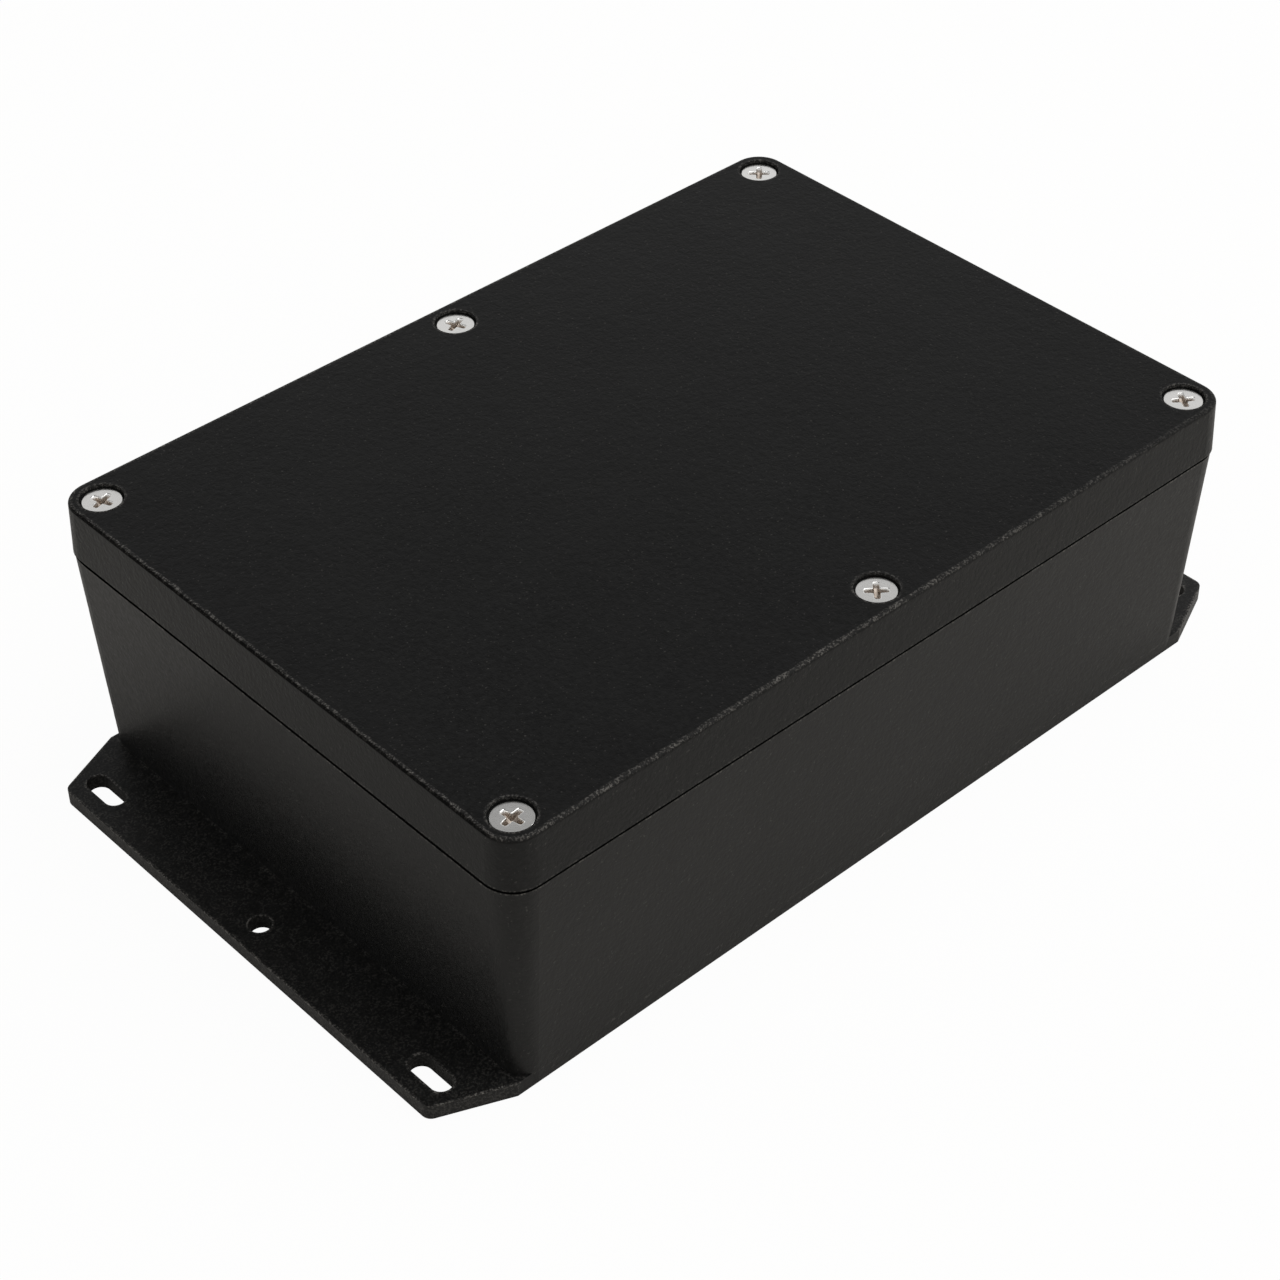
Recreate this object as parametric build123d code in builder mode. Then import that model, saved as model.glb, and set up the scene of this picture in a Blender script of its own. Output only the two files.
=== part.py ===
from build123d import *
import os

# Die-cast box with integral mounting flanges, flat lid, gasket and six
# countersunk lid screws. Millimetres, +Z up, origin under the middle of the
# base. The long side runs along X. The base is drafted inward toward its
# foot and the lid inward toward its top, both from the parting plane.

# Box
box_length = 171.0
box_width = 121.0
base_height = 47.5
lid_height = 10.5
corner_radius = 5.8
foot_inset_x = 2.0
foot_inset_y = 2.8
foot_radius = 4.0
lid_draft = 2.6
wall = 3.0
floor_thickness = 3.0
lid_plate = 3.6
lid_wall = 3.0
lid_overhang = 0.2
lid_edge_radius = 0.6

# Mounting flanges
flange_reach = 12.5
flange_tip_inset = 8.9
flange_root_inset = 1.6
flange_thickness = 3.0
flange_corner_radius = 2.0
slot_edge_distance = 5.3
slot_end_distance = 5.35
slot_width = 4.2
slot_length = 9.6
centre_hole_radius = 2.1

# Lid screws
screw_inset = 6.0
screw_radius = 2.0
screw_head_radius = 3.65
screw_head_rim = 0.3
screw_length = 20.0
screw_sink = 0.65
recess_width = 4.3
recess_slot = 0.95
recess_depth = 1.9
recess_taper = 12.0
seat_clearance = 0.1
tapped_clearance = 0.05
lid_hole_clearance = 0.25
counterbore_clearance = 0.3

# Screw bosses
boss_radius = 4.4
tapped_depth = 16.0

# Tongue, groove and gasket
tongue_width = 1.0
tongue_height = 1.0
tongue_inset = 0.9
groove_clearance = 0.25
groove_depth = 2.4

# Board standoffs on the floor
standoff_inset_x = 20.5
standoff_inset_y = 20.5
standoff_radius = 3.5
standoff_height = 5.0
standoff_hole_radius = 1.25
standoff_hole_depth = 6.5

os.makedirs("parts", exist_ok=True)

top_z = base_height + lid_height
head_z = top_z - screw_sink
half_pitch_x = box_length / 2 - screw_inset
half_pitch_y = box_width / 2 - screw_inset
lid_hole_radius = screw_radius + lid_hole_clearance
screw_spots = {
    "screw_front_left": (-half_pitch_x, -half_pitch_y),
    "screw_front_middle": (0, -half_pitch_y),
    "screw_front_right": (half_pitch_x, -half_pitch_y),
    "screw_back_left": (-half_pitch_x, half_pitch_y),
    "screw_back_middle": (0, half_pitch_y),
    "screw_back_right": (half_pitch_x, half_pitch_y),
}
places = list(screw_spots.values())

# The tongue and the groove share one centre line, a fixed inset from the
# base's outer edge at the parting plane.
line_inset = tongue_inset + tongue_width / 2
groove_width = tongue_width + 2 * groove_clearance
line_length = box_length - 2 * line_inset
line_width = box_width - 2 * line_inset
line_radius = corner_radius - line_inset

# Flange and standoff layout follows the box.
flange_half = box_length / 2 + flange_reach
tip_half = box_width / 2 - flange_tip_inset
root_half_x = box_length / 2 - flange_root_inset
root_half_y = box_width / 2 - foot_inset_y
hole_pitch_x = 2 * (flange_half - slot_edge_distance)
slot_pitch_y = 2 * (tip_half - slot_end_distance)
standoff_pitch_x = box_length - 2 * standoff_inset_x
standoff_pitch_y = box_width - 2 * standoff_inset_y

# How far the drafted wall has come in at the cavity's floor.
floor_share = 1 - floor_thickness / base_height
floor_inset_x = foot_inset_x * floor_share + wall
floor_inset_y = foot_inset_y * floor_share + wall

with BuildPart() as base:
    # Drafted shell, lofted from the foot to the parting plane.
    with BuildSketch(Plane.XY):
        RectangleRounded(box_length - 2 * foot_inset_x, box_width - 2 * foot_inset_y, foot_radius)
    with BuildSketch(Plane.XY.offset(base_height)):
        RectangleRounded(box_length, box_width, corner_radius)
    loft()
    # Flanges, one sketch at the underside; each tip is narrower than its root
    # and the slanted sides run into the corners of the box.
    with BuildSketch(Plane.XY):
        with BuildLine():
            Polyline(
                (root_half_x - foot_inset_x - wall, -root_half_y),
                (root_half_x, -root_half_y),
                (flange_half, -tip_half),
                (flange_half, tip_half),
                (root_half_x, root_half_y),
                (root_half_x - foot_inset_x - wall, root_half_y),
                close=True,
            )
        make_face()
        mirror(about=Plane.YZ)
    extrude(amount=flange_thickness)
    tips = base.edges().filter_by(Axis.Z)
    tips = tips.filter_by(lambda e: abs(e.center().X) > flange_half - 0.01)
    fillet(tips, flange_corner_radius)
    # Cavity with the same draft, so the wall keeps its thickness.
    with BuildSketch(Plane.XY.offset(floor_thickness)):
        RectangleRounded(
            box_length - 2 * floor_inset_x, box_width - 2 * floor_inset_y, foot_radius - wall / 2
        )
    with BuildSketch(Plane.XY.offset(base_height)):
        RectangleRounded(box_length - 2 * wall, box_width - 2 * wall, corner_radius - wall)
    loft(mode=Mode.SUBTRACT)
    # Screw bosses hang from the rim, run into the wall and end in a cone.
    boss_depth = tapped_depth + 2
    with BuildSketch(Plane.XY.offset(base_height)) as boss_plan:
        with Locations(*places):
            Circle(boss_radius)
        RectangleRounded(
            box_length - wall, box_width - wall, corner_radius - wall / 2, mode=Mode.INTERSECT
        )
    extrude(amount=-boss_depth)
    # Board standoffs.
    with BuildSketch(Plane.XY.offset(floor_thickness)):
        with GridLocations(standoff_pitch_x, standoff_pitch_y, 2, 2):
            Circle(standoff_radius)
    extrude(amount=standoff_height)
    # Tongue round the rim.
    with BuildSketch(Plane.XY.offset(base_height)):
        RectangleRounded(
            line_length + tongue_width, line_width + tongue_width, line_radius + tongue_width / 2
        )
        RectangleRounded(
            line_length - tongue_width, line_width - tongue_width, line_radius - tongue_width / 2,
            mode=Mode.SUBTRACT,
        )
    extrude(amount=tongue_height)
    # Tapped holes for the lid screws and for the board screws.
    with Locations(Plane.XY.offset(base_height)):
        with Locations(*places):
            Hole(screw_radius + tapped_clearance, depth=tapped_depth)
    with Locations(Plane.XY.offset(floor_thickness + standoff_height)):
        with GridLocations(standoff_pitch_x, standoff_pitch_y, 2, 2):
            Hole(standoff_hole_radius, depth=standoff_hole_depth)
    # Slots and centre holes of the flanges.
    with BuildSketch(Plane.XY.offset(flange_thickness)):
        with GridLocations(hole_pitch_x, slot_pitch_y, 2, 2):
            SlotOverall(slot_length, slot_width, rotation=90)
        with GridLocations(hole_pitch_x, 0, 2, 1):
            Circle(centre_hole_radius)
    extrude(amount=-flange_thickness, mode=Mode.SUBTRACT)

base.part.label = "base"
export_step(base.part, "parts/base.step")

with BuildPart() as lid:
    # Outer shape, drawn at the parting plane and drafted toward the top.
    with BuildSketch(Plane.XY.offset(base_height)):
        RectangleRounded(
            box_length + 2 * lid_overhang, box_width + 2 * lid_overhang,
            corner_radius + lid_overhang,
        )
    extrude(amount=lid_height, taper=lid_draft)
    fillet(lid.faces().sort_by(Axis.Z)[-1].outer_wire().edges(), lid_edge_radius)
    # Hollow under the plate.
    with BuildSketch(Plane.XY.offset(base_height)):
        RectangleRounded(
            box_length - 2 * lid_wall, box_width - 2 * lid_wall, corner_radius - lid_wall
        )
    extrude(amount=lid_height - lid_plate, mode=Mode.SUBTRACT)
    # Columns that carry the screws down to the base.
    with BuildSketch(Plane.XY.offset(base_height)):
        with Locations(*places):
            Circle(boss_radius)
        RectangleRounded(
            box_length - lid_wall, box_width - lid_wall, corner_radius - lid_wall / 2,
            mode=Mode.INTERSECT,
        )
    extrude(amount=lid_height - lid_plate)
    # Gasket groove.
    with BuildSketch(Plane.XY.offset(base_height)):
        RectangleRounded(
            line_length + groove_width, line_width + groove_width, line_radius + groove_width / 2
        )
        RectangleRounded(
            line_length - groove_width, line_width - groove_width, line_radius - groove_width / 2,
            mode=Mode.SUBTRACT,
        )
    extrude(amount=groove_depth, mode=Mode.SUBTRACT)
    # Sunk seats and clearance holes for the screws.
    with Locations(Plane.XY.offset(top_z)):
        with Locations(*places):
            Hole(screw_head_radius + counterbore_clearance, depth=screw_sink + screw_head_rim)
    with Locations(Plane.XY.offset(head_z - screw_head_rim)):
        with Locations(*places):
            CounterSinkHole(
                lid_hole_radius, screw_head_radius + seat_clearance,
                depth=lid_height - screw_sink, counter_sink_angle=90,
            )

lid.part.label = "lid"
export_step(lid.part, "parts/lid.step")

with BuildPart() as gasket:
    # Square cord in the groove, pressed on by the tongue.
    with BuildSketch(Plane.XY.offset(base_height + tongue_height)):
        RectangleRounded(
            line_length + groove_width, line_width + groove_width, line_radius + groove_width / 2
        )
        RectangleRounded(
            line_length - groove_width, line_width - groove_width, line_radius - groove_width / 2,
            mode=Mode.SUBTRACT,
        )
    extrude(amount=groove_depth - tongue_height)

gasket.part.label = "gasket"
export_step(gasket.part, "parts/gasket.step")

with BuildPart() as screw:
    # Countersunk screw on its own axis, head up, with a cross recess.
    with BuildSketch(Plane.XZ):
        with BuildLine():
            Polyline(
                (0, head_z),
                (screw_head_radius, head_z),
                (screw_head_radius, head_z - screw_head_rim),
                (screw_radius, head_z - screw_head_rim - (screw_head_radius - screw_radius)),
                (screw_radius, head_z - screw_length + 0.6),
                (screw_radius - 0.6, head_z - screw_length),
                (0, head_z - screw_length),
                close=True,
            )
        make_face()
    revolve(axis=Axis.Z)
    with BuildSketch(Plane.XY.offset(head_z)):
        Rectangle(recess_width, recess_slot)
        Rectangle(recess_slot, recess_width)
        Circle(recess_slot * 0.95)
    extrude(amount=-recess_depth, taper=recess_taper, mode=Mode.SUBTRACT)

for name, spot in screw_spots.items():
    placed = Pos(spot[0], spot[1], 0) * screw.part
    placed.label = name
    export_step(placed, "parts/" + name + ".step")
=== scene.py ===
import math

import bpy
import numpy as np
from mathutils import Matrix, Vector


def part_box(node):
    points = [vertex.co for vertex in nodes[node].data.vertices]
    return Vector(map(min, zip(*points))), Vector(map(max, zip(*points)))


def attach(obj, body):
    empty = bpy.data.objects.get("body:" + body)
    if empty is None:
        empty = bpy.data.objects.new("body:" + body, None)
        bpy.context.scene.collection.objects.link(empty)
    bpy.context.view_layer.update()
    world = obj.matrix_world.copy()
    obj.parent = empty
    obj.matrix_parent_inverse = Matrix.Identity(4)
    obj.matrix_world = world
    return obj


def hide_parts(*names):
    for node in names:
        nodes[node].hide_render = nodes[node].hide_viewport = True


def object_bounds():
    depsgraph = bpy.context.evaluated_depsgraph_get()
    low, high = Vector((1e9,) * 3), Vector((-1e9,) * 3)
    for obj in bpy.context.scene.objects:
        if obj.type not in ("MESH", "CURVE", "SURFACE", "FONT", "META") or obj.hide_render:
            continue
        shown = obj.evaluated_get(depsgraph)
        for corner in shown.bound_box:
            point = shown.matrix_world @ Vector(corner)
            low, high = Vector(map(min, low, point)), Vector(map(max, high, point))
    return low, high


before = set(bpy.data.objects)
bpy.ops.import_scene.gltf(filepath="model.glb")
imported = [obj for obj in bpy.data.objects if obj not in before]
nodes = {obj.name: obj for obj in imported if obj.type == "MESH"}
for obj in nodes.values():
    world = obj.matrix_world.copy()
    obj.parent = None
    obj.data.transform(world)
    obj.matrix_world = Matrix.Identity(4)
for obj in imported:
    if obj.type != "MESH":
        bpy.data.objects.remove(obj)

# %% [markdown]
# # A die-cast box with mounting flanges
#
# The CAD frame holds the casting, the lid, the gasket and six screws at their
# real size. This script gives them their looks: a fine black powder coat on
# both castings, plain rubber for the gasket, and new meshes for the screws,
# whose cross recess and thread are easier to show as worked-out surfaces than
# as CAD solids. Everything is in metres.

MM = 0.001
cad_box = [list(corner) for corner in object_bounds()]
base_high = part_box("base")[1]
lid_low, lid_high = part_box("lid")
print("CAD box", cad_box)
print("nodes", sorted(nodes))

# %% [markdown]
# ## Sizes that the finishes need
#
# The powder coat is thinner and brighter where a casting has an edge, so the
# materials need to know where the edges run. These few sizes are the ones that
# the castings were drawn with, and everything else is read from the frame.

# %% Sizes
LID_TOP = lid_high.z
PARTING = lid_low.z
LID_TOP_INSET = 0.48 * MM
LID_HALF_X = lid_high.x - LID_TOP_INSET
LID_HALF_Y = lid_high.y - LID_TOP_INSET
LID_CORNER = 5.5 * MM
FLANGE_TOP = 3.0 * MM

SCREWS = sorted(name for name in nodes if name.startswith("screw"))
screw_boxes = {name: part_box(name) for name in SCREWS}
screw_spot = {name: (low + high) / 2 for name, (low, high) in screw_boxes.items()}
HEAD_TOP = screw_boxes[SCREWS[0]][1].z
HEAD_RADIUS = (screw_boxes[SCREWS[0]][1].x - screw_boxes[SCREWS[0]][0].x) / 2
SCREW_LENGTH = HEAD_TOP - screw_boxes[SCREWS[0]][0].z
SEAT_RADIUS = HEAD_RADIUS + 0.3 * MM
SCREW_X = max(spot.x for spot in screw_spot.values())
SCREW_Y = max(spot.y for spot in screw_spot.values())
print("screw pitch", round(2 * SCREW_X, 4), round(2 * SCREW_Y, 4), "head radius", HEAD_RADIUS)

# %% [markdown]
# ## Shader maths as plain expressions
#
# A shader mask is a small formula, and formulas are hard to read as a list of
# linked boxes. The class below wraps one node socket, so that `a * b + 1` adds
# the Math nodes by itself. Numbers alone stay in Python. Colours and vectors
# never pass through a Math node, because it would turn them grey.

# %% The socket wrapper
class Signal:
    """One output socket. Arithmetic on it adds Math nodes and returns the result."""

    def __init__(self, shader, socket):
        self.shader, self.socket = shader, socket

    def _math(self, operation, *values, clamp=False):
        settings = {"operation": operation, "use_clamp": clamp}
        return self.shader.add("ShaderNodeMath", settings, values)[0]

    def __add__(self, other):
        return self._math("ADD", self, other)

    def __sub__(self, other):
        return self._math("SUBTRACT", self, other)

    def __rsub__(self, other):
        return self._math("SUBTRACT", other, self)

    def __mul__(self, other):
        return self._math("MULTIPLY", self, other)

    def __pow__(self, other):
        return self._math("POWER", self, other)

    def __abs__(self):
        return self._math("ABSOLUTE", self)

    __radd__ = __add__
    __rmul__ = __mul__

    def least(self, other):
        return self._math("MINIMUM", self, other)

    def most(self, other):
        return self._math("MAXIMUM", self, other)

    def root(self):
        return self._math("SQRT", self.most(0.0))

    def ramp(self, low, high):
        """0 below low, 1 above high, smooth between. High may be less than low."""
        t = self._math("DIVIDE", self - low, high - low, clamp=True)
        return t * t * (3.0 - 2.0 * t)


class Shader:
    """A material, or the world, under construction, with one method that adds any node."""

    def __init__(self, name, kind=bpy.data.materials):
        self.material = kind.new(name)
        self.material.use_nodes = True
        self.tree = self.material.node_tree
        self.tree.nodes.clear()

    def add(self, kind, settings=None, sockets=()):
        """Adds a node, sets its settings, then its sockets by order or by name."""
        node = self.tree.nodes.new(kind)
        for key, value in (settings or {}).items():
            setattr(node, key, value)
        pairs = sockets.items() if isinstance(sockets, dict) else enumerate(sockets)
        for key, value in pairs:
            if isinstance(value, Signal):
                self.tree.links.new(value.socket, node.inputs[key])
            else:
                node.inputs[key].default_value = value
        return [Signal(self, output) for output in node.outputs]

    def place(self):
        """The Object coordinate and its three parts, in metres."""
        spot = self.add("ShaderNodeTexCoord")[3]
        return (spot, *self.add("ShaderNodeSeparateXYZ", None, [spot]))

    def noise(self, spot, size, detail=2.0, roughness=0.5):
        """Noise from 0 to 1 whose blobs are about size metres across."""
        return self.add(
            "ShaderNodeTexNoise", None,
            {"Vector": spot, "Scale": 0.5 / size, "Detail": detail, "Roughness": roughness},
        )[0]

    def blend(self, mask, first, second):
        """Mixes two colours by a mask."""
        node = self.tree.nodes.new("ShaderNodeMix")
        node.data_type = "RGBA"
        factor, colour_a, colour_b = (node.inputs[place] for place in (0, 6, 7))
        for socket, value in ((factor, mask), (colour_a, first), (colour_b, second)):
            if isinstance(value, Signal):
                self.tree.links.new(value.socket, socket)
            elif socket.type == "RGBA":
                socket.default_value = (*value, 1.0)
            else:
                socket.default_value = value
        return Signal(self, node.outputs[2])

    def bump(self, height, distance, strength=1.0):
        """A normal from a height: the distance is its depth in metres."""
        sockets = {"Strength": strength, "Distance": distance, "Height": height}
        return self.add("ShaderNodeBump", None, sockets)[0]

    def finish(self, gap_shadow=None, **sockets):
        """Ends the material in one Principled shader, or in a painted shadow, a near-black diffuse,
        where gap_shadow is 1.
        """
        named = {key.replace("_", " "): value for key, value in sockets.items()}
        for key, value in named.items():
            if isinstance(value, tuple) and len(value) == 3:
                named[key] = (*value, 1.0)
        surface = self.add("ShaderNodeBsdfPrincipled", None, named)[0]
        if gap_shadow is not None:
            dark = {"Color": (0.001, 0.001, 0.001, 1.0)}
            shadow = self.add("ShaderNodeBsdfDiffuse", None, dark)[0]
            surface = self.add("ShaderNodeMixShader", None, [gap_shadow, surface, shadow])[0]
        self.add("ShaderNodeOutputMaterial", None, [surface])
        return self.material


print("shader helpers ready")

# %% [markdown]
# ## Powder coat
#
# The real finish is a fine-texture black powder: it is sprayed dry, melts and
# sets with small pimples that are about a third of a millimetre apart. It could
# be modelled as displacement, but at this size only the light shows it, so two
# layers of noise feed a bump. Along sharp edges the powder pulls back, and the
# grains there are painted lighter, partly as wear and partly as a painted
# highlight: a distance to the lid's outline gives a band along the edge, and
# the noise breaks it into grains.

# %% Distances to the edges, for wear and painted light
def outline_distance(x, y, half_x, half_y, corner):
    """Distance to a rounded rectangle in plan: outside it is the length of the part
    of (|x|, |y|) beyond the corner's centre, less the corner's radius."""
    over_x = abs(x) - (half_x - corner)
    over_y = abs(y) - (half_y - corner)
    outside = (over_x.most(0.0) ** 2.0 + over_y.most(0.0) ** 2.0).root()
    inside = over_x.most(over_y).least(0.0)
    return outside + inside - corner


def nearest_seat(x, y):
    """Distance in plan to the nearest screw's axis. Folding x at half the pitch
    brings the middle screws onto the corner ones."""
    folded = abs(abs(abs(x) - SCREW_X / 2) - SCREW_X / 2)
    across = abs(y) - SCREW_Y
    return (folded ** 2.0 + across ** 2.0).root()


print("edge distances ready")

# %% Distances to the flange edges
FLANGE_END = base_high.x
FLANGE_TIP = 51.6 * MM
FLANGE_ROOT = (83.9 * MM, 57.7 * MM)
SLOT_X = FLANGE_END - 5.3 * MM
SLOT_Y = 46.25 * MM
SLOT_HALF = 2.7 * MM
HOLE_RADIUS = 2.1 * MM
FOOT_HALF_X = 83.6 * MM
FOOT_HALF_Y = 57.9 * MM
FOOT_CORNER = 4.1 * MM


def flange_edge(x, y):
    """Least distance in plan to the flange's end, its slanted sides, a slot's rim or
    a round hole's rim. A slot is all points within a radius of a short line along Y,
    and a slanted side is a line, so its distance is a dot product with its normal."""
    end = abs(FLANGE_END - abs(x))
    run, rise = FLANGE_END - FLANGE_ROOT[0], FLANGE_ROOT[1] - FLANGE_TIP
    length = math.hypot(run, rise)
    slant = abs((abs(x) - FLANGE_END) * (rise / length) + (abs(y) - FLANGE_TIP) * (run / length))
    side = abs(x) - SLOT_X
    along = (abs(abs(y) - SLOT_Y) - SLOT_HALF).most(0.0)
    slot = abs((side ** 2.0 + along ** 2.0).root() - HOLE_RADIUS)
    hole = abs((side ** 2.0 + y ** 2.0).root() - HOLE_RADIUS)
    return end.least(slant).least(slot).least(hole)


print("flange ends at", round(FLANGE_END, 4))

# %% [markdown]
# The same coat covers both castings. On the lid it is painted lighter along the
# top edge and round the six screw seats, and on the base along the flanges'
# edges, flanks and root: partly wear, partly painted highlight. The parting line
# is a narrow gap on the real object. It is not cut into the castings: a painted
# shadow on its two lips stands for it, nearly black, and the strip is deeper at
# the two ends. A painted shade runs under the lid's end edges, and painted
# highlight grains run beside the strip.

# %% Powder-coat colours
# Both castings wear one coat, but the lid's top is painted darker than the base (painted shade) and
# its sides lighter (painted light).
LID_SHADED_TINTS = (0.0026, 0.0038, 0.0078)
LID_SIDE_LIT_GREYS = ((0.0095, 0.0095, 0.0092), (0.0160, 0.0160, 0.0155))
BASE_TINTS = (0.0058, 0.0074, 0.0130)
COAT_LIT = (0.15, 0.142, 0.13)
LID_IOR, BASE_IOR = 1.205, 1.25
LID_RELIEF, BASE_RELIEF = 0.9, 0.6
print("coat greys", LID_SHADED_TINTS, BASE_TINTS)

# %% Powder-coat sizes
GRAIN_SIZE = 0.40 * MM
BLOB_SIZE = 1.5 * MM
CLOUD_SIZE = 9.0 * MM
CLUMP_SIZE = 0.9 * MM
SPARK_SIZE = 0.22 * MM
FLECK_SIZE = 0.24 * MM
RAGGED_REACH = 0.6 * MM
BUMP_DEPTH = 0.15 * MM
# How far along x the edge's painted highlight fades.
RIM_HIGHLIGHT_FADE = 75.0 * MM
LID_OVERHANG = 0.2 * MM
BASE_CORNER = 5.8 * MM
# Sizes of the painted shadow that stands for the parting gap.
SEAM_ABOVE = 0.14 * MM
SEAM_BELOW = 0.70 * MM
SEAM_BELOW_ENDS = 1.00 * MM
LIP_START = 0.02 * MM
print("seam below the parting line", SEAM_BELOW, "and at the ends", SEAM_BELOW_ENDS)


# %% Masks of the lid's coat
def lid_wear_and_light(x, y, z, ragged, clump):
    """Three masks of the lid: its edge and seats, painted lighter as wear and as
    painted highlight; the painted shadow on its lip at the parting line, with the
    painted shade under its end edges; and the painted highlight grains by the lip."""
    outline = outline_distance(x, y, LID_HALF_X, LID_HALF_Y, LID_CORNER)
    drop, rise = z - LID_TOP, z - PARTING
    on_end = (abs(x) - LID_HALF_X).ramp(-1.6 * MM, -0.8 * MM)
    on_end = on_end * (abs(y) - LID_HALF_Y).ramp(-2.0 * MM, -6.0 * MM)
    rim = (outline + ragged).ramp(-1.0 * MM, -0.62 * MM)
    rim = rim * drop.ramp(-0.50 * MM + ragged * 0.4, -0.15 * MM)
    # The edge band is wear and painted highlight, and its painted highlight fades towards +x.
    rim = rim * (0.35 + clump * 0.40) * (1.0 - x.ramp(0.0, RIM_HIGHLIGHT_FADE) * 0.65)
    # The ring round each seat is painted lighter: wear, and painted light on the seat's shaded
    # wall.
    ring = nearest_seat(x, y) + ragged * 0.5 - (SEAT_RADIUS + 0.1 * MM)
    seat = abs(ring).ramp(0.45 * MM, 0.05 * MM) * drop.ramp(-0.8 * MM, -0.4 * MM)
    wear_and_highlight = rim.most(seat * (0.25 + clump * 0.30))
    outer = outline.ramp(-0.20 * MM, 0.0)
    # Painted shadow on the lid's lip at the parting gap, and painted shade under its end edges.
    lip = rise.ramp(SEAM_ABOVE, SEAM_ABOVE * 0.4) * rise.ramp(0.0, LIP_START) * outer
    shade = outline.ramp(-0.36 * MM, -0.24 * MM) * drop.ramp(-0.62 * MM, -0.45 * MM)
    # Painted highlight grains on the lid just above the parting gap.
    below = rise.ramp(0.50 * MM, 0.25 * MM) * outer * 0.5
    return wear_and_highlight, lip.most(shade * on_end * 0.75), below


print("lid masks ready")


# %% Masks of the base's coat
def base_wear_and_light(x, y, z, ragged, clump):
    """Three masks of the base: the edges, flanks and root of its flanges, painted
    lighter as wear and as painted highlight; the painted shadow on its lip at the
    parting line; and the painted highlight grains below the lip."""
    near_top = abs(z - FLANGE_TOP).ramp(0.40 * MM, 0.15 * MM)
    beyond = (abs(x) - FOOT_HALF_X).ramp(0.0, 0.3 * MM)
    away = flange_edge(x, y)
    # The flanges' edges, flanks and root are painted lighter: wear and painted highlight.
    edge = (away + ragged).ramp(0.55 * MM, 0.10 * MM) * near_top * (0.5 + clump * 0.5)
    flank = away.ramp(0.12 * MM, 0.04 * MM) * (z - FLANGE_TOP).ramp(0.1 * MM, -0.3 * MM)
    foot = outline_distance(x, y, FOOT_HALF_X, FOOT_HALF_Y, FOOT_CORNER)
    root = abs(foot + ragged - 0.3 * MM).ramp(0.7 * MM, 0.1 * MM) * near_top * clump
    wear_and_highlight = edge.most(flank * beyond * 0.18).most(root * 0.30)
    # Painted shadow on the base's lip at the parting gap, deeper at the two ends.
    half_x, half_y = lid_high.x - LID_OVERHANG, lid_high.y - LID_OVERHANG
    outer = outline_distance(x, y, half_x, half_y, BASE_CORNER).ramp(-0.60 * MM, -0.45 * MM)
    on_end = (abs(x) - lid_high.x).ramp(-3.0 * MM, -1.5 * MM)
    on_end = on_end * (abs(y) - lid_high.y).ramp(-3.0 * MM, -8.0 * MM)
    under = PARTING - z
    depth = SEAM_BELOW + on_end * (SEAM_BELOW_ENDS - SEAM_BELOW) + ragged * 0.30
    lip = (depth - under).ramp(0.0, 0.10 * MM) * under.ramp(0.0, LIP_START) * outer
    # Painted highlight grains on the base just below its painted shadow.
    below = abs(under - depth - 0.12 * MM).ramp(0.30 * MM, 0.05 * MM)
    return wear_and_highlight, lip, below * outer * (0.3 + clump * 0.7)


print("base masks ready")


# %% Powder-coat material
def powder_coat(name, wear_and_light, tints, gloss, relief, lit_side_greys=None):
    """Black powder coat: noise for the grain, and masks of wear and painted light for
    the edges, the painted shadow of the parting gap and its painted highlight grains.
    The tints are the greys of the plain coat, its clouds and its fine grain. The gloss is
    the coat's index of refraction, the relief is the strength of its bump, and the
    lit side greys are painted light on the faces below the lid's top edge."""
    plain, clouded, grained = [(grey, grey, grey * 0.97) for grey in tints]
    coat = Shader(name)
    spot, x, y, z = coat.place()
    fine = coat.noise(spot, GRAIN_SIZE, detail=2.0, roughness=0.6)
    coarse = coat.noise(spot, BLOB_SIZE, detail=1.0)
    cloud = coat.noise(spot, CLOUD_SIZE, detail=2.0)
    clump = coat.noise(spot, CLUMP_SIZE, detail=1.0).ramp(0.36, 0.62)
    wear_and_highlight, gap_shadow, below = wear_and_light(x, y, z, (coarse - 0.5) * RAGGED_REACH, clump)
    grains = coat.noise(spot, SPARK_SIZE, detail=1.0, roughness=0.7).ramp(0.46, 0.66)
    fleck = coat.noise(spot, FLECK_SIZE, detail=0.0).ramp(0.77, 0.805)
    # The flange top's light speckle is real grain, made stronger as painted light on its shaded
    # top.
    flange = (abs(x) - FOOT_HALF_X).ramp(-0.3 * MM, 0.0)
    flange = flange * z.ramp(FLANGE_TOP + 0.3 * MM, FLANGE_TOP)
    speckle_and_light = flange * grains * (0.35 + clump * 0.65) * 0.17
    lit = (wear_and_highlight * (0.10 + grains * 0.90)).most(below * grains * 0.6)
    lit = lit.most(fleck * 0.17).most(speckle_and_light)
    fine_share = fine.ramp(0.35, 0.7) * 0.6
    tint = coat.blend(cloud.ramp(0.35, 0.7), plain, clouded)
    tint = coat.blend(fine_share, tint, grained)
    # Painted light: the lid's faces below its top edge get lighter greys than its top.
    if lit_side_greys:
        side = coat.blend(fine_share, *lit_side_greys)
        tint = coat.blend((z - LID_TOP).ramp(-0.5 * MM, -1.0 * MM), tint, side)
    height = fine * 0.6 + coarse * 0.4 + wear_and_highlight * grains * 1.2
    return coat.finish(
        gap_shadow, Base_Color=coat.blend(lit, tint, COAT_LIT), IOR=gloss, Metallic=0.0,
        Roughness=0.30 + fine * 0.26 + wear_and_highlight * 0.12,
        Normal=coat.bump(height, BUMP_DEPTH, strength=relief),
    )


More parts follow.
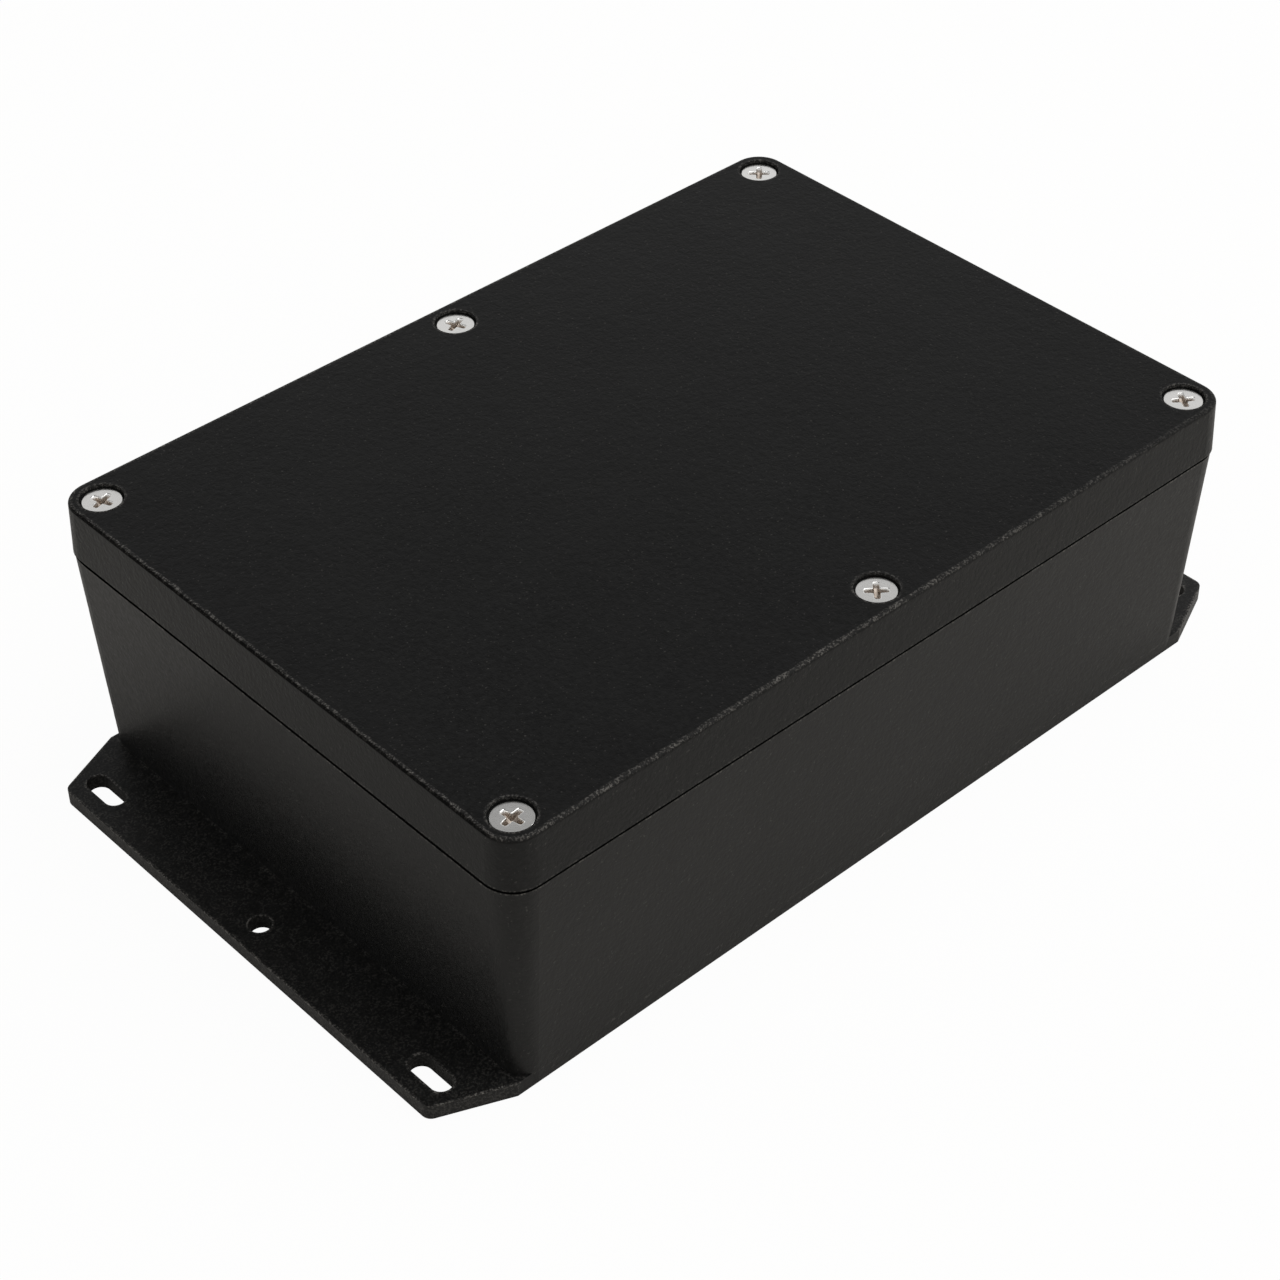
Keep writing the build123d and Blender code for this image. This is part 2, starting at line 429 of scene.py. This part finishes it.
coat_lid = powder_coat("powder_coat_lid", lid_wear_and_light, LID_SHADED_TINTS, LID_IOR, LID_RELIEF, LID_SIDE_LIT_GREYS)
coat_base = powder_coat("powder_coat_base", base_wear_and_light, BASE_TINTS, BASE_IOR, BASE_RELIEF)
print("powder coat", coat_lid.name, coat_base.name)

# %% [markdown]
# ## Rubber for the gasket
#
# The gasket is a black cord in the lid's groove. It only shows when the lid is
# lifted, and then as a dull line, so it is nearly matt with a soft, even grain.

# %% Rubber material
def gasket_rubber():
    """Dull black rubber: one fine noise for its colour, roughness and bump."""
    rubber = Shader("gasket_rubber")
    spot = rubber.place()[0]
    grain = rubber.noise(spot, 0.2 * MM, detail=1.0)
    colour = rubber.blend(grain, (0.010, 0.010, 0.010), (0.017, 0.017, 0.016))
    return rubber.finish(
        Base_Color=colour, Roughness=0.72 + grain * 0.1, Normal=rubber.bump(grain, 0.03 * MM, 0.4),
        IOR=1.5,
    )


# %% Dress the castings and the gasket
for node_name, material in (("base", coat_base), ("lid", coat_lid), ("gasket", gasket_rubber())):
    mesh = nodes[node_name].data
    mesh.materials.clear()
    mesh.materials.append(material)
    print(node_name, "wears", material.name)

# %% [markdown]
# ## Screw steel
#
# The screws are plain steel with a bright, slightly satin finish, turned on a
# lathe, so faint rings run round the head. The recess is punched: its walls and
# floor are rougher, and they are painted brown and darker, darkest at the floor,
# as painted shade. The depth below the head's face tells the material where the
# recess is.

# %% Steel colours
STEEL = (0.92, 0.91, 0.89)
STEEL_STAIN = (0.50, 0.49, 0.47)
# Painted shade in the screws' recess: brown, darker at its floor.
RECESS_SHADE_BROWN = (0.42, 0.35, 0.29)
RECESS_FLOOR_SHADE = (0.20, 0.155, 0.12)
PATCH_SIZE = 0.7 * MM
RING_SIZE = 0.10 * MM
STEEL_BUMP = 0.02 * MM
print("steel", STEEL, "recess", RECESS_SHADE_BROWN)


# %% Steel material
def screw_steel(name, spot_of_screw):
    """Satin steel. Rings follow the distance from this screw's own axis, and the
    depth below the head's face, near the axis, marks the recess and its floor,
    which are painted brown and darker as painted shade."""
    steel = Shader(name)
    spot, x, y, z = steel.place()
    away = ((x - spot_of_screw.x) ** 2.0 + (y - spot_of_screw.y) ** 2.0).root()
    depth = HEAD_TOP - z
    inside = away.ramp(2.5 * MM, 2.2 * MM) * depth.ramp(1.95 * MM, 1.80 * MM)
    in_recess = depth.ramp(0.12 * MM, 0.75 * MM) * inside
    floor = depth.ramp(0.5 * MM, 1.5 * MM) * inside
    patch = steel.noise(spot, PATCH_SIZE, detail=3.0)
    outwards = steel.add("ShaderNodeCombineXYZ", None, [away, 0.0, 0.0])[0]
    rings = steel.noise(outwards, RING_SIZE, detail=1.0)
    # Painted shade: brown in the recess, darker at its floor.
    colour = steel.blend(in_recess * (0.55 + patch * 0.45), STEEL, RECESS_SHADE_BROWN)
    colour = steel.blend(floor * 0.6, colour, RECESS_FLOOR_SHADE)
    colour = steel.blend(patch.ramp(0.62, 0.85) * 0.25, colour, STEEL_STAIN)
    height = rings * 0.5 + patch * 0.5
    return steel.finish(
        Base_Color=colour, Metallic=1.0, Roughness=0.17 + patch * 0.08 + in_recess * 0.25,
        Normal=steel.bump(height, STEEL_BUMP, 0.5),
    )


print("steel ready")

# %% [markdown]
# ## The screws as surfaces
#
# Each screw is one closed surface of two parameters: a profile that runs from
# the middle of the head to the middle of the tip, and the angle round the axis.
# The head's face is sunk by a depth that depends on both, which cuts the cross
# recess, and the shank's radius follows a helix, which makes the thread. A
# boolean could do the same, but it leaves long thin faces that shade badly.

# %% Cross recess
RECESS_REACH = 2.25 * MM
RECESS_HALF = 0.50 * MM
RECESS_DEPTH = 1.75 * MM
RECESS_WALL = 0.30 * MM


def soft_step(values, low, high):
    """3t^2 - 2t^3 with t running from 0 at low to 1 at high."""
    t = np.clip((values - low) / (high - low), 0.0, 1.0)
    return t * t * (3.0 - 2.0 * t)


def recess(radius, angle):
    """Depth of a cross recess. Each arm is a slot that gets shallower away from
    the axis, and the middle is a small cone: depth = arm mask x falling depth."""
    a, b = radius * np.cos(angle), radius * np.sin(angle)
    arm_half = RECESS_HALF * (1.0 - 0.18 * radius / RECESS_REACH)
    arm = np.maximum(
        soft_step(arm_half + RECESS_WALL / 2 - np.abs(b), 0.0, RECESS_WALL),
        soft_step(arm_half + RECESS_WALL / 2 - np.abs(a), 0.0, RECESS_WALL),
    )
    reach = soft_step(RECESS_REACH - radius, 0.0, 0.55 * MM)
    fall = RECESS_DEPTH * (1.0 - 0.62 * radius / RECESS_REACH)
    middle = soft_step(0.98 * MM - radius, 0.0, 0.30 * MM)
    return fall * np.maximum(arm * reach, middle)


print("recess depth in the middle", round(float(recess(np.zeros(1), np.zeros(1))[0]) / MM, 2), "mm")

# %% Screw sizes
PITCH = 0.7 * MM
THREAD_DEPTH = 0.40 * MM
THREAD_CLEARANCE = 0.02 * MM
SHANK_RADIUS = 2.0 * MM
RIM_ROUND = 0.22 * MM
RIM_HEIGHT = 0.30 * MM
FACE_INNER, FACE_OUTER = 2.5 * MM, 3.4 * MM
TIP_RADIUS = 1.2 * MM
TIP_LENGTH = 0.3 * MM
print("thread of", round((SCREW_LENGTH - 2.15 * MM) / PITCH, 1), "turns")


# %% Screw surface
def screw_surface(turn, sides=144):
    """Profile by angle. Along the profile the radius grows over the head's face,
    rounds the rim, falls along the 90 degree cone and becomes the threaded shank,
    where radius = crest - depth x triangle(z / pitch - angle / full turn)."""
    face = np.concatenate([
        np.linspace(0.0, FACE_INNER, 40)[1:], np.linspace(FACE_INNER, FACE_OUTER, 6)[1:],
    ])
    bend = np.linspace(0.0, 1.0, 7) * math.pi / 2
    rim_r = HEAD_RADIUS - RIM_ROUND + RIM_ROUND * np.sin(bend)
    rim_z = -RIM_ROUND + RIM_ROUND * np.cos(bend)
    cone_z = -np.array([RIM_HEIGHT, RIM_HEIGHT + (HEAD_RADIUS - SHANK_RADIUS)])
    cone_r = np.array([HEAD_RADIUS, SHANK_RADIUS])
    thread_z = -np.linspace(2.15 * MM, SCREW_LENGTH - 0.7 * MM, 200)
    tip_z = -np.array([SCREW_LENGTH - TIP_LENGTH, SCREW_LENGTH])
    shank_r = np.full(thread_z.size, SHANK_RADIUS)
    tip_r = np.array([SHANK_RADIUS - 0.45 * MM, TIP_RADIUS])
    radius = np.concatenate([face, rim_r, cone_r, shank_r, tip_r])
    height = np.concatenate([np.zeros(face.size), rim_z, cone_z, thread_z, tip_z])
    angle = np.linspace(0.0, 2 * math.pi, sides, endpoint=False)
    R, A = np.meshgrid(radius, angle, indexing="ij")
    Z = np.repeat(height[:, None], sides, axis=1)
    Z -= recess(R, A) * (height[:, None] > -0.001 * MM)
    phase = (Z / PITCH - A / (2 * math.pi)) % 1.0
    tooth = np.abs(2.0 * phase - 1.0)
    threaded = soft_step(-Z, 2.2 * MM, 3.0 * MM) * soft_step(SCREW_LENGTH + Z, 0.5 * MM, 1.4 * MM)
    R = R - THREAD_CLEARANCE * (Z < -2.1 * MM) - THREAD_DEPTH * tooth * threaded
    points = np.stack([R * np.cos(A + turn), R * np.sin(A + turn), Z], axis=-1).reshape(-1, 3)
    middle_top = [0.0, 0.0, -float(recess(np.zeros(1), np.zeros(1))[0])]
    middle_tip = [0.0, 0.0, -SCREW_LENGTH]
    points = np.vstack([points, middle_top, middle_tip])
    return points, radius.size, sides


def closed_faces(rows, sides):
    """Quads between rows, facing outwards, and a fan of triangles at each end."""
    row, side = np.meshgrid(np.arange(rows - 1), np.arange(sides), indexing="ij")
    here, beside = row * sides + side, row * sides + (side + 1) % sides
    quads = np.stack([here, here + sides, beside + sides, beside], axis=-1).reshape(-1, 4)
    ring = np.arange(sides)
    after = (ring + 1) % sides
    top = np.stack([np.full(sides, rows * sides), ring, after], axis=-1)
    last = (rows - 1) * sides
    tip = np.stack([np.full(sides, rows * sides + 1), last + after, last + ring], axis=-1)
    return quads.tolist() + top.tolist() + tip.tolist()


# %% Build the six screws
SCREW_TURN = {
    "screw_front_left": 0.16,
    "screw_front_middle": 0.85,
    "screw_front_right": 0.98,
    "screw_back_left": 0.32,
    "screw_back_middle": 0.36,
    "screw_back_right": 0.80,
}


def make_screw(name):
    spot = screw_spot[name]
    points, rows, sides = screw_surface(SCREW_TURN[name])
    points = points + np.array([spot.x, spot.y, HEAD_TOP])
    mesh = bpy.data.meshes.new(name + "_look")
    mesh.from_pydata(points.tolist(), [], closed_faces(rows, sides))
    mesh.polygons.foreach_set("use_smooth", np.ones(len(mesh.polygons), bool))
    mesh.update()
    screw = bpy.data.objects.new(name + "_look", mesh)
    bpy.context.scene.collection.objects.link(screw)
    mesh.materials.append(screw_steel("steel_" + name, spot))
    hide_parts(name)
    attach(screw, name)
    return screw


screws = [make_screw(name) for name in SCREWS]
print(len(screws), "screws of", len(screws[0].data.polygons), "faces")

# %% [markdown]
# ## Floor
#
# The box lies on a white sweep. The floor is a pale sheet a little below the
# feet, wide enough for any view. For the camera it is mixed with an even white,
# as a bright studio sweep looks, and it keeps a little of the object's shadow.

# %% Floor sheet
FLOOR_SIZE = 6.0


def floor_material():
    floor = Shader("floor_white")
    diffuse = floor.add("ShaderNodeBsdfDiffuse", None, {"Color": (0.90, 0.87, 0.82, 1.0)})[0]
    white = {"Color": (1.0, 1.0, 1.0, 1.0), "Strength": 1.0}
    glow = floor.add("ShaderNodeEmission", None, white)[0]
    seen = floor.add("ShaderNodeLightPath")[0]
    surface = floor.add("ShaderNodeMixShader", None, [seen * 0.96, diffuse, glow])[0]
    floor.add("ShaderNodeOutputMaterial", None, [surface])
    return floor.material


def sheet(name, half, z):
    """A flat square: four corners at height z."""
    corners = np.array([[-1, -1, 0], [1, -1, 0], [1, 1, 0], [-1, 1, 0]], float) * half + [0, 0, z]
    mesh = bpy.data.meshes.new(name)
    mesh.from_pydata(corners.tolist(), [], [(0, 1, 2, 3)])
    piece = bpy.data.objects.new(name, mesh)
    bpy.context.scene.collection.objects.link(piece)
    return piece


floor = sheet("floor", FLOOR_SIZE / 2, cad_box[0][2] - 0.02 * MM)
floor.data.materials.append(floor_material())
print("floor at", floor.data.vertices[0].co.z)

# %% [markdown]
# ## World and lamps
#
# Black paint and polished steel show their shape only by what they mirror, so
# the room matters more than the lamps. The walls mirror the white floor, and
# the lid and the screw heads mirror the room: it is bright up to about a third
# of the way up the sky and dim above. The camera itself sees plain white.

# %% World
SKY_DIM = 0.15
SKY_GLOW = 0.60
room = Shader("studio", bpy.data.worlds)
way = room.add("ShaderNodeTexCoord")[0]
height_in_sky = room.add("ShaderNodeSeparateXYZ", None, [way])[2]
sky = SKY_DIM + height_in_sky.ramp(0.74, 0.54) * SKY_GLOW
dim = room.add("ShaderNodeBackground", None, {"Color": (1.0, 1.0, 1.0, 1.0), "Strength": sky})[0]
white = room.add("ShaderNodeBackground", None, {"Color": (1.0, 1.0, 1.0, 1.0), "Strength": 1.0})[0]
seen = room.add("ShaderNodeLightPath")[0]
surface = room.add("ShaderNodeMixShader", None, [seen, dim, white])[0]
room.add("ShaderNodeOutputWorld", None, [surface])
bpy.context.scene.world = room.material
print("world", room.material.name, "from", SKY_DIM, "to", SKY_DIM + SKY_GLOW)


# %% Lamps
def lamp(name, place, aim, width, height, watts):
    """A rectangular soft lamp at place, turned towards aim."""
    light = bpy.data.lights.new(name, "AREA")
    light.shape, light.size, light.size_y, light.energy = "RECTANGLE", width, height, watts
    thing = bpy.data.objects.new(name, light)
    bpy.context.scene.collection.objects.link(thing)
    thing.location = place
    thing.rotation_mode = "QUATERNION"
    thing.rotation_quaternion = (Vector(place) - Vector(aim)).to_track_quat("Z", "Y")
    return thing


MIDDLE = (0.0, 0.0, 0.03)
lamp("lamp_above", (0.30, -0.25, 1.2), MIDDLE, 1.0, 1.0, 9.0)
lamp("lamp_right", (0.75, -0.95, 0.55), MIDDLE, 0.9, 0.6, 1.5)

# %% [markdown]
# ## Camera
#
# The photograph looks down at one corner of the box from about 40 degrees. The
# camera's place, direction and lens were found by matching the box's edges and
# the six screw heads, so the outline of the render lies on the outline of the
# real one.

# %% Camera
CAMERA_PLACE = Vector((-0.27575, -0.30144, 0.35533))
CAMERA_HEADING = math.radians(42.06)
CAMERA_DIP = math.radians(39.92)
CAMERA_ROLL = math.radians(-0.80)
CAMERA_LENS = 80.43

forward = Vector((
    math.sin(CAMERA_HEADING) * math.cos(CAMERA_DIP),
    math.cos(CAMERA_HEADING) * math.cos(CAMERA_DIP),
    -math.sin(CAMERA_DIP),
))
level = forward.cross(Vector((0, 0, 1))).normalized()
upward = level.cross(forward)
right = level * math.cos(CAMERA_ROLL) + upward * math.sin(CAMERA_ROLL)
up = right.cross(forward)
camera_data = bpy.data.cameras.new("camera")
camera_data.lens, camera_data.sensor_width = CAMERA_LENS, 36.0
camera_data.clip_start, camera_data.clip_end = 0.02, 50.0
camera = bpy.data.objects.new("camera", camera_data)
bpy.context.scene.collection.objects.link(camera)
turn = Matrix((right, up, -forward)).transposed().to_4x4()
camera.matrix_world = Matrix.Translation(CAMERA_PLACE) @ turn
bpy.context.scene.camera = camera
bpy.context.scene.view_settings.view_transform = "Standard"
print("camera at", tuple(round(v, 4) for v in camera.matrix_world.translation))
